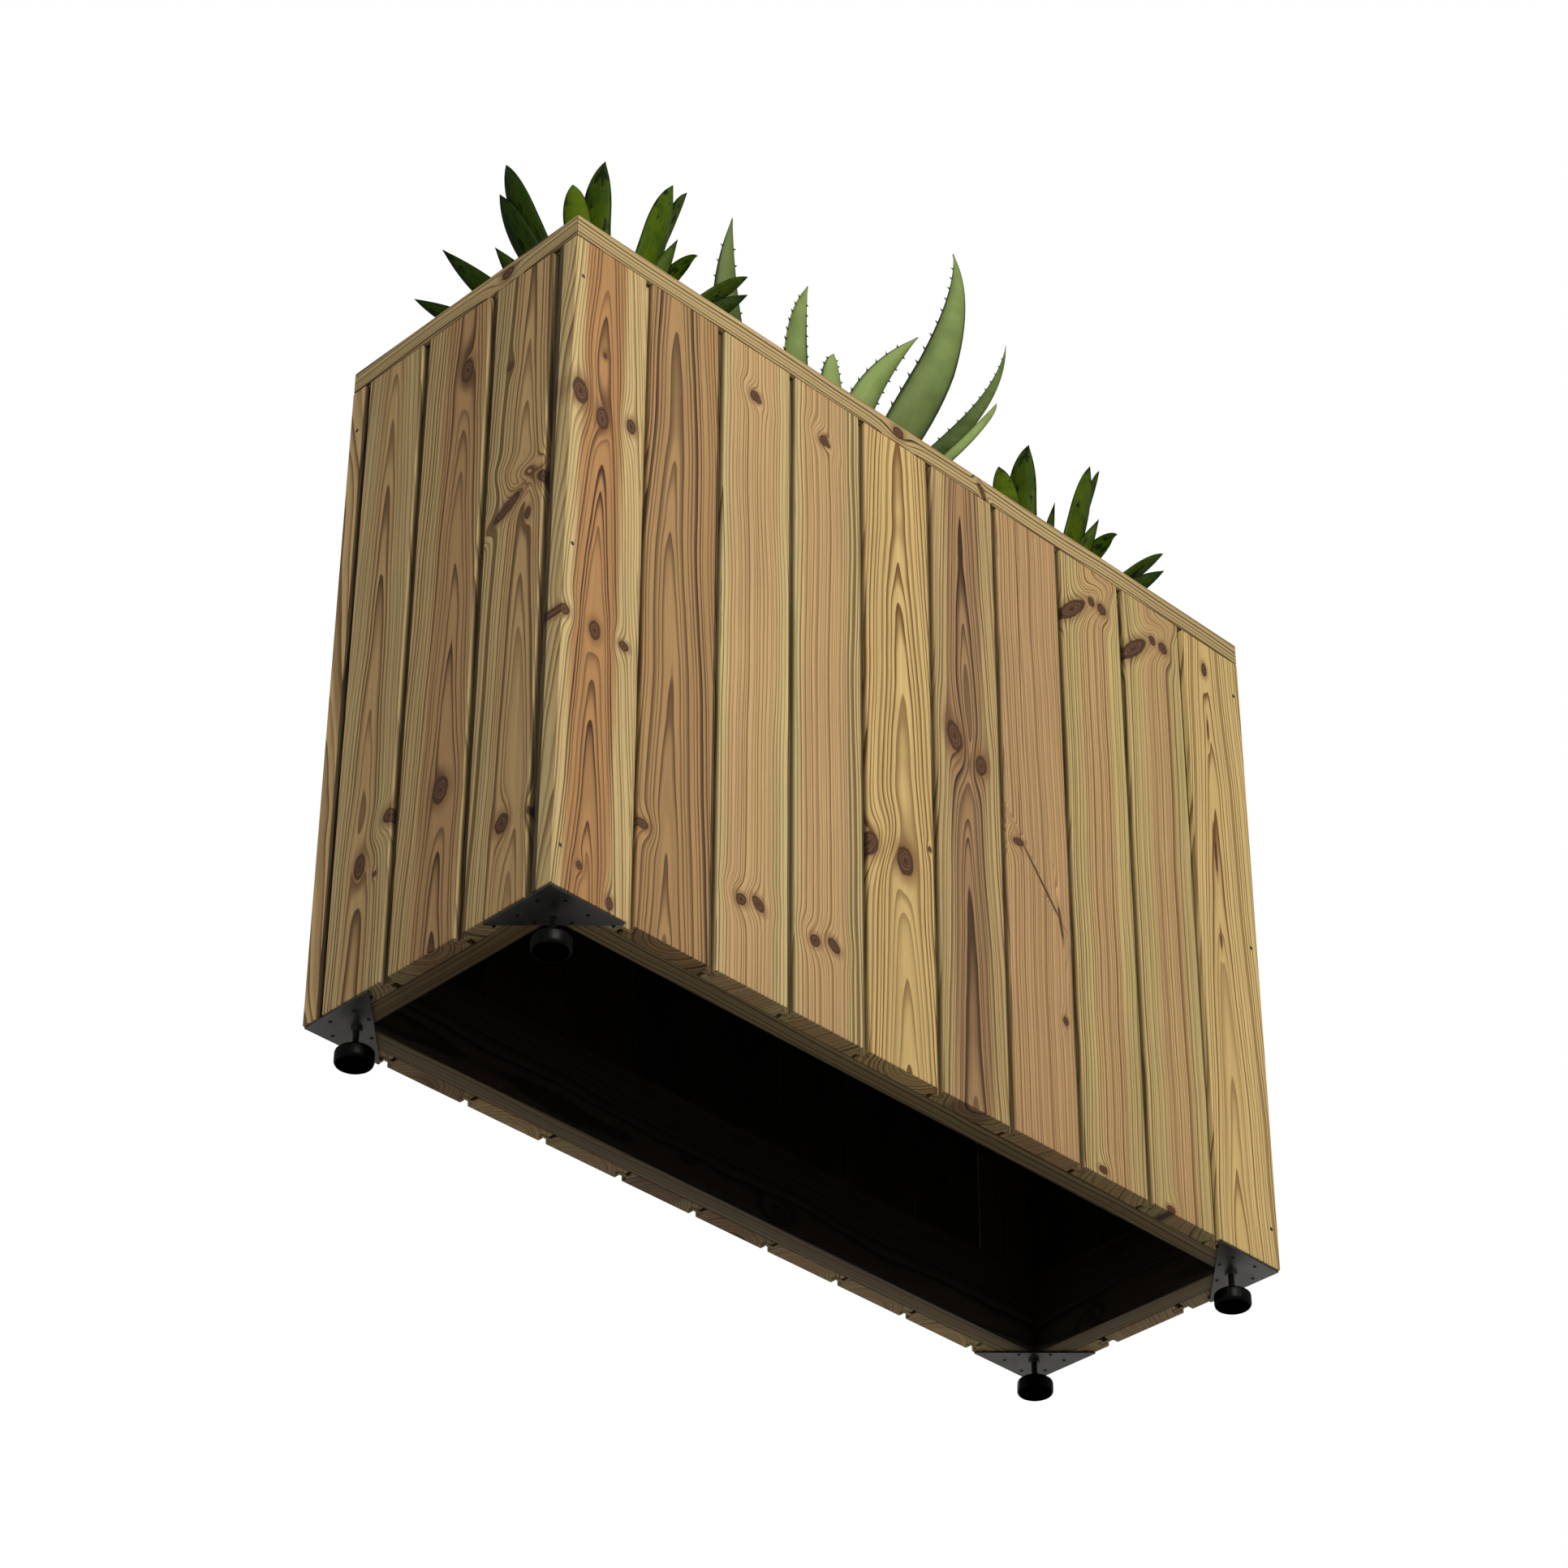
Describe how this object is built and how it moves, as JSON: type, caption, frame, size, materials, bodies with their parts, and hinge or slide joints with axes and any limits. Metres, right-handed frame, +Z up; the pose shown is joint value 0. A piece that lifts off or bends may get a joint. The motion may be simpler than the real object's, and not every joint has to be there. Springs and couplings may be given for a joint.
{
  "type": "raised planter on legs",
  "caption": "Tall timber trough planter of upright channel boards with a mitred rim, on metal corner plates with levelling feet, planted with rosettes and an aloe.",
  "frame": {"origin": "centre of the footprint on the ground, under the foot pads", "axes": "+Z up, +X along the long faces, +Y from the front long face to the back one"},
  "size_m": [1.2, 0.41, 1.4668],
  "materials": {
    "face_boards": "matte",
    "side_boards": "matte",
    "rim": "matte",
    "frame_rails": "matte",
    "floor_panel": "matte",
    "liner": "matte",
    "soil": "matte",
    "dark_leaf": "satin",
    "aloe_leaf": "satin",
    "corner_plates": "satin",
    "studs": "satin",
    "foot_pads": "matte"
  },
  "bodies": {
    "box": {"front_board_1": "face_boards", "front_board_2": "face_boards", "front_board_3": "face_boards", "front_board_4": "face_boards", "front_board_5": "face_boards", "front_board_6": "face_boards", "front_board_7": "face_boards", "front_board_8": "face_boards", "front_board_9": "face_boards", "front_board_10": "face_boards", "back_board_1": "face_boards", "back_board_2": "face_boards", "back_board_3": "face_boards", "back_board_4": "face_boards", "back_board_5": "face_boards", "back_board_6": "face_boards", "back_board_7": "face_boards", "back_board_8": "face_boards", "back_board_9": "face_boards", "back_board_10": "face_boards", "left_side_board_1": "side_boards", "left_side_board_2": "side_boards", "left_side_board_3": "side_boards", "right_side_board_1": "side_boards", "right_side_board_2": "side_boards", "right_side_board_3": "side_boards", "rim_front": "rim", "rim_back": "rim", "rim_left": "rim", "rim_right": "rim", "bottom_rail_front": "frame_rails", "bottom_rail_back": "frame_rails", "bottom_rail_left": "frame_rails", "bottom_rail_right": "frame_rails", "floor_rail_front": "frame_rails", "floor_rail_back": "frame_rails", "floor_rail_left": "frame_rails", "floor_rail_right": "frame_rails", "top_rail_front": "frame_rails", "top_rail_back": "frame_rails", "top_rail_left": "frame_rails", "top_rail_right": "frame_rails", "planting_floor": "floor_panel", "liner": "liner", "soil": "soil", "rosette_left": "dark_leaf", "rosette_right": "dark_leaf", "aloe": "aloe_leaf", "corner_plate_front_left": "corner_plates", "corner_plate_front_right": "corner_plates", "corner_plate_back_right": "corner_plates", "corner_plate_back_left": "corner_plates"},
    "stud_front_left": {"foot_stud_front_left": "studs"},
    "pad_front_left": {"foot_pad_front_left": "foot_pads"},
    "stud_front_right": {"foot_stud_front_right": "studs"},
    "pad_front_right": {"foot_pad_front_right": "foot_pads"},
    "stud_back_right": {"foot_stud_back_right": "studs"},
    "pad_back_right": {"foot_pad_back_right": "foot_pads"},
    "stud_back_left": {"foot_stud_back_left": "studs"},
    "pad_back_left": {"foot_pad_back_left": "foot_pads"}
  },
  "joints": [
    {"name": "front_left_height", "type": "slide", "parent": "box", "child": "stud_front_left", "axis": [0, 0, 1], "range_m": [-0.0201, 0.0139]},
    {"name": "front_left_turn", "type": "hinge", "parent": "stud_front_left", "child": "pad_front_left", "pos_m": [-0.5574, -0.1624, 0], "axis": [0, 0, 1], "range_deg": [-5760, 3960]},
    {"name": "front_right_height", "type": "slide", "parent": "box", "child": "stud_front_right", "axis": [0, 0, 1], "range_m": [-0.0201, 0.0139]},
    {"name": "front_right_turn", "type": "hinge", "parent": "stud_front_right", "child": "pad_front_right", "pos_m": [0.5574, -0.1624, 0], "axis": [0, 0, 1], "range_deg": [-5760, 3960]},
    {"name": "back_right_height", "type": "slide", "parent": "box", "child": "stud_back_right", "axis": [0, 0, 1], "range_m": [-0.0201, 0.0139]},
    {"name": "back_right_turn", "type": "hinge", "parent": "stud_back_right", "child": "pad_back_right", "pos_m": [0.5574, 0.1624, 0], "axis": [0, 0, 1], "range_deg": [-5760, 3960]},
    {"name": "back_left_height", "type": "slide", "parent": "box", "child": "stud_back_left", "axis": [0, 0, 1], "range_m": [-0.0201, 0.0139]},
    {"name": "back_left_turn", "type": "hinge", "parent": "stud_back_left", "child": "pad_back_left", "pos_m": [-0.5574, 0.1624, 0], "axis": [0, 0, 1], "range_deg": [-5760, 3960]}
  ],
  "couplings": [
    {"joint": "front_left_height", "follows": "front_left_turn", "m_per_rad": 0.00019894},
    {"joint": "front_right_height", "follows": "front_right_turn", "m_per_rad": 0.00019894},
    {"joint": "back_right_height", "follows": "back_right_turn", "m_per_rad": 0.00019894},
    {"joint": "back_left_height", "follows": "back_left_turn", "m_per_rad": 0.00019894}
  ]
}
